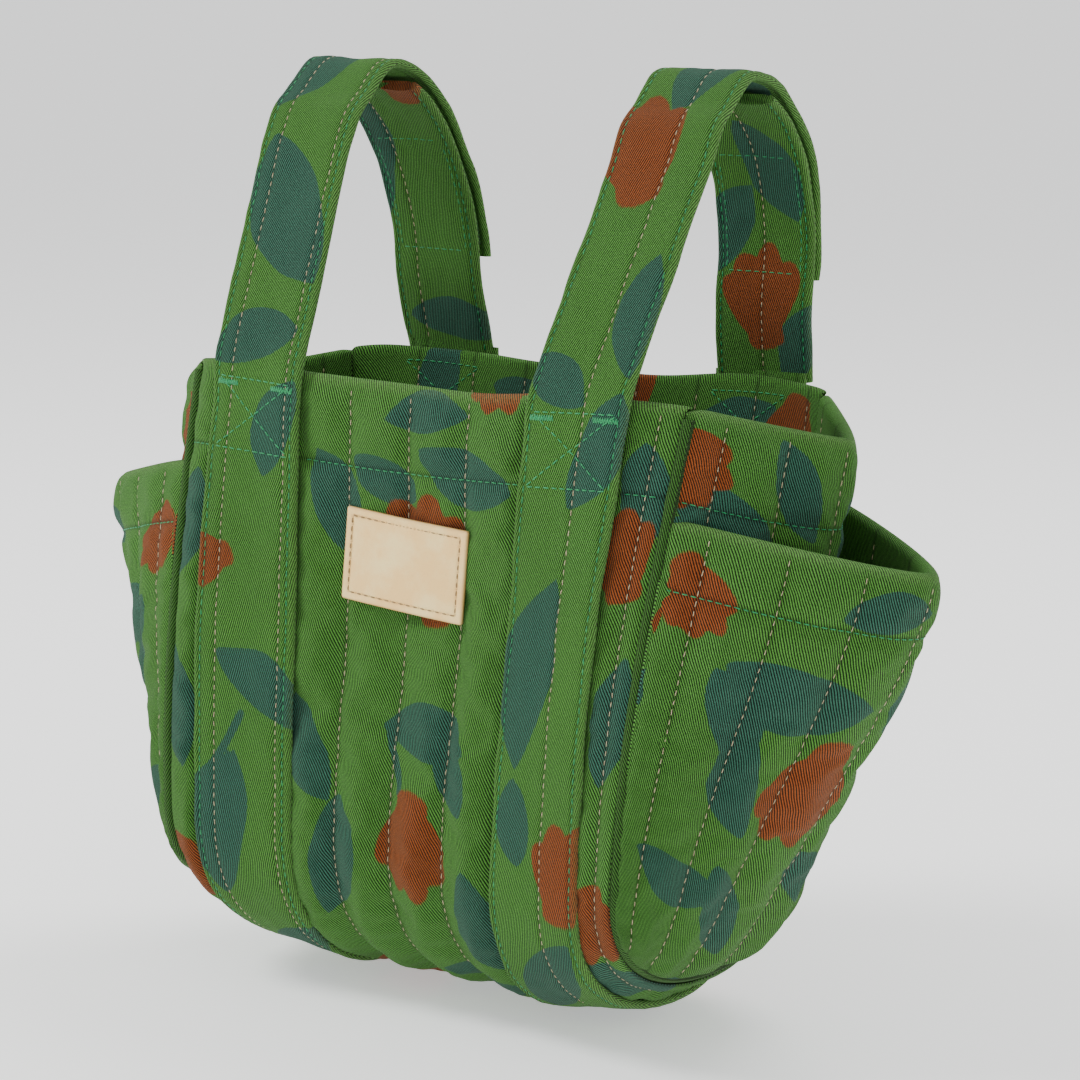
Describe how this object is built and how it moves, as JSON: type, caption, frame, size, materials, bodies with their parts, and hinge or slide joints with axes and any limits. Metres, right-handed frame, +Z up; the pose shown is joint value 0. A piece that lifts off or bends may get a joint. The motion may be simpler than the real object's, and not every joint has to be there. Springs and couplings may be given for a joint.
{
  "type": "diaper bag",
  "caption": "Quilted cotton diaper bag with a rounded base, side pockets and hook-and-loop straps that hang it from a stroller's handlebar.",
  "frame": {"origin": "on the axis of the handlebar that the strap loops hang from, midway between the loops", "axes": "+X along the handlebar to the viewer's right, -Y the labelled front, +Z up"},
  "size_m": [0.373, 0.1504, 0.3514],
  "materials": {
    "quilted_cloth": "printed cotton twill",
    "lining_cloth": "printed cotton twill",
    "wadding": "soft fibre",
    "strap_cloth": "printed cotton twill",
    "hook_tape": "woven nylon hooks",
    "loop_tape": "brushed nylon loops",
    "label_leather": "smooth natural leather",
    "thread": "polyester sewing thread"
  },
  "bodies": {
    "bag": {"body_wrap_shell": "quilted_cloth", "body_wrap_wadding": "wadding", "body_wrap_lining": "lining_cloth", "left_side_shell": "quilted_cloth", "left_side_wadding": "wadding", "left_side_lining": "lining_cloth", "left_pocket_shell": "quilted_cloth", "left_pocket_lining": "lining_cloth", "left_strap_band": "strap_cloth", "right_side_shell": "quilted_cloth", "right_side_wadding": "wadding", "right_side_lining": "lining_cloth", "right_pocket_shell": "quilted_cloth", "right_pocket_lining": "lining_cloth", "right_strap_band": "strap_cloth", "leather_label": "label_leather", "front_bar_tacks": "thread", "back_bar_tacks": "thread"},
    "left_strap": {"left_strap_riser": "strap_cloth"},
    "left_flap": {"left_closing_flap": "strap_cloth", "left_hook_patch": "hook_tape"},
    "left_tab": {"left_back_tab": "strap_cloth", "left_loop_patch": "loop_tape"},
    "right_strap": {"right_strap_riser": "strap_cloth"},
    "right_flap": {"right_closing_flap": "strap_cloth", "right_hook_patch": "hook_tape"},
    "right_tab": {"right_back_tab": "strap_cloth", "right_loop_patch": "loop_tape"}
  },
  "joints": [
    {"name": "left_strap_lean", "type": "hinge", "parent": "bag", "child": "left_strap", "pos_m": [-0.072, -0.06353, -0.08007], "axis": [1, 0, 0], "range_deg": [0, 32]},
    {"name": "left_flap_peel", "type": "hinge", "parent": "left_strap", "child": "left_flap", "pos_m": [-0.08, 0.0082, 0.0332], "axis": [1, 0, 0], "range_deg": [0, 150]},
    {"name": "left_tab_lean", "type": "hinge", "parent": "bag", "child": "left_tab", "pos_m": [-0.074, 0.06435, -0.08522], "axis": [1, 0, 0], "range_deg": [0, 24]},
    {"name": "right_strap_lean", "type": "hinge", "parent": "bag", "child": "right_strap", "pos_m": [0.072, -0.06353, -0.08007], "axis": [1, 0, 0], "range_deg": [0, 32]},
    {"name": "right_flap_peel", "type": "hinge", "parent": "right_strap", "child": "right_flap", "pos_m": [0.08, 0.0082, 0.0332], "axis": [1, 0, 0], "range_deg": [0, 150]},
    {"name": "right_tab_lean", "type": "hinge", "parent": "bag", "child": "right_tab", "pos_m": [0.074, 0.06435, -0.08522], "axis": [1, 0, 0], "range_deg": [0, 24]}
  ],
  "couplings": [
    {"joint": "left_strap_lean", "follows": "left_flap_peel", "ratio": 0.2},
    {"joint": "left_tab_lean", "follows": "left_flap_peel", "ratio": 0.15},
    {"joint": "right_strap_lean", "follows": "right_flap_peel", "ratio": 0.2},
    {"joint": "right_tab_lean", "follows": "right_flap_peel", "ratio": 0.15}
  ]
}
